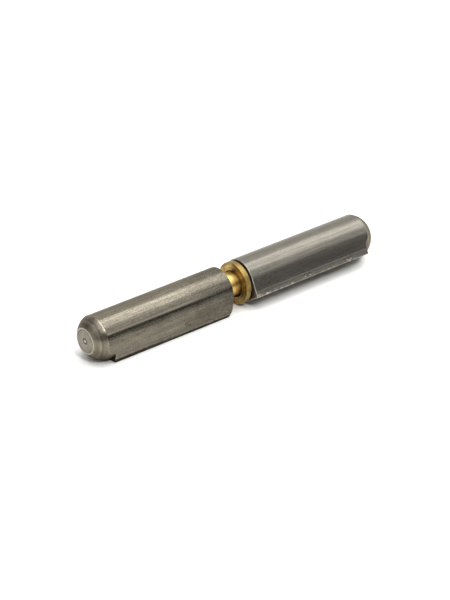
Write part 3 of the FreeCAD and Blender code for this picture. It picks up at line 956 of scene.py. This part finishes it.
# Table: a wide matt white card, 8 m square.
card = bmesh.new()
bmesh.ops.create_grid(card, x_segments=8, y_segments=8, size=4.0)
card_mesh = bpy.data.meshes.new("white_card_table")
card.to_mesh(card_mesh)
card.free()
card_mesh.materials.append(white_card("matt_white_card"))
table = put_in_scene("white_card_table", card_mesh)


def soft_box(name, place, aim, width, depth, radiance):
    """A rectangular soft light that points at aim, in metres."""
    lamp = bpy.data.lights.new(name, "AREA")
    lamp.shape = "RECTANGLE"
    lamp.size = width
    lamp.size_y = depth
    lamp.energy = radiance * math.pi * width * depth
    holder = put_in_scene(name, lamp)
    holder.location = place
    holder.rotation_euler = (Vector(aim) - Vector(place)).to_track_quat("-Z", "Y").to_euler()


# Overhead soft box with a brighter strip where its tube is: height, left and right end, width,
# middle across and radiance.
for name, height, left, right, wide, middle, radiance in (
        ("overhead_soft_box", 1.25, -0.4, 1.7, 1.14, -0.13, 1.75),
        ("soft_box_tube", 1.2, -0.4, 1.7, 0.23, 0.08, 0.85)):
    place = ((left + right) / 2, middle)
    soft_box(name, (*place, height), (*place, 0.0), right - left, wide, radiance)

# Key light from over the viewer's right shoulder: it keeps the shadows short and catches the worn
# edge of the dome.
KEY_TOWARDS = Vector((-0.12, -0.62, 0.77))
KEY_AWAY = 1.5
KEY_SIZE = 0.3
KEY_RADIANCE = 22.0
soft_box("front_key", KEY_TOWARDS * KEY_AWAY, (0.0, 0.0, 0.0), KEY_SIZE, KEY_SIZE, KEY_RADIANCE)

# The room, by the direction one looks in from the hinge: X to the right along it, Z up, and towards
# the viewer. Each pair says where a dim part is full and where it ends.
ROOM_LIGHT = grey(1.37)
DIM_LIGHT = grey(0.1)
TOWARDS_VIEWER = (-0.64, -0.77, 0.0)
TABLE_EDGE_UP, TABLE_EDGE_TOWARDS = (0.25, 0.36), (0.12, -0.15)
VIEWER_UP, VIEWER_TOWARDS = (0.62, 0.74), (0.38, 0.23)
FLAG_UP, FLAG_LEFT, FLAG_BACK = (0.75, 0.95), (-0.2, 0.1), (0.05, -0.25)
FLAG_DARK = 0.78
DIM_AS_FAR_LEFT = (-0.82, -0.95)


def studio_walls():
    """White room. It is dim low down on the side the hinge is seen from, as past the edge of a
    table, dim where the viewer stands, and dim to the left, where a dark flag stands. Past the
    flag, at the far left, it is bright again."""
    world = bpy.data.worlds.new("white_studio")
    world.use_nodes = True
    tree = world.node_tree
    tree.nodes.clear()
    ray = add(tree, "TexCoord").outputs["Generated"]
    parts = add(tree, "SeparateXYZ", {0: ray}).outputs
    towards = add(tree, "VectorMath", {0: ray, 1: TOWARDS_VIEWER},
                  operation="DOT_PRODUCT").outputs["Value"]

    def fade(value, full_and_none):
        full, none = full_and_none
        return add(tree, "MapRange", {"Value": value, "From Min": none, "From Max": full},
                   interpolation_type="SMOOTHSTEP").outputs["Result"]

    table_edge = sums(tree, "MULTIPLY", fade(parts["Z"], TABLE_EDGE_UP),
                      fade(towards, TABLE_EDGE_TOWARDS))
    viewer = sums(tree, "MULTIPLY", fade(parts["Z"], VIEWER_UP), fade(towards, VIEWER_TOWARDS))
    flag = sums(tree, "MULTIPLY", fade(parts["Z"], FLAG_UP), fade(parts["X"], FLAG_LEFT))
    flag = sums(tree, "MULTIPLY", flag, fade(parts["Y"], FLAG_BACK))
    flag = sums(tree, "MULTIPLY", flag, FLAG_DARK)
    dim = sums(tree, "MAXIMUM", sums(tree, "MAXIMUM", table_edge, flag), viewer)
    dim = sums(tree, "MULTIPLY", dim, fade(parts["X"], DIM_AS_FAR_LEFT))
    sky = add(tree, "Background", {"Color": blend(tree, dim, ROOM_LIGHT, DIM_LIGHT),
                                   "Strength": 1.0})
    add(tree, "OutputWorld", {"Surface": sky.outputs[0]})
    bpy.context.scene.world = world


studio_walls()

# Camera: a 145.6 mm lens, 39.8 degrees round from the front and 28.6 degrees up.
CAMERA_PLACE = (-0.48309, -0.57558, 0.41112)
CAMERA_ROUND = math.radians(-39.836)
CAMERA_UP = math.radians(28.552)
lens = bpy.data.cameras.new("studio_camera")
lens.lens = 145.55
lens.sensor_width = 36.0
lens.sensor_fit = "AUTO"
lens.clip_start = 0.01
camera = put_in_scene("studio_camera", lens)
camera.location = CAMERA_PLACE
camera.rotation_euler = (math.pi / 2 - CAMERA_UP, 0.0, CAMERA_ROUND)
bpy.context.scene.camera = camera
bpy.context.scene.view_settings.view_transform = "Standard"
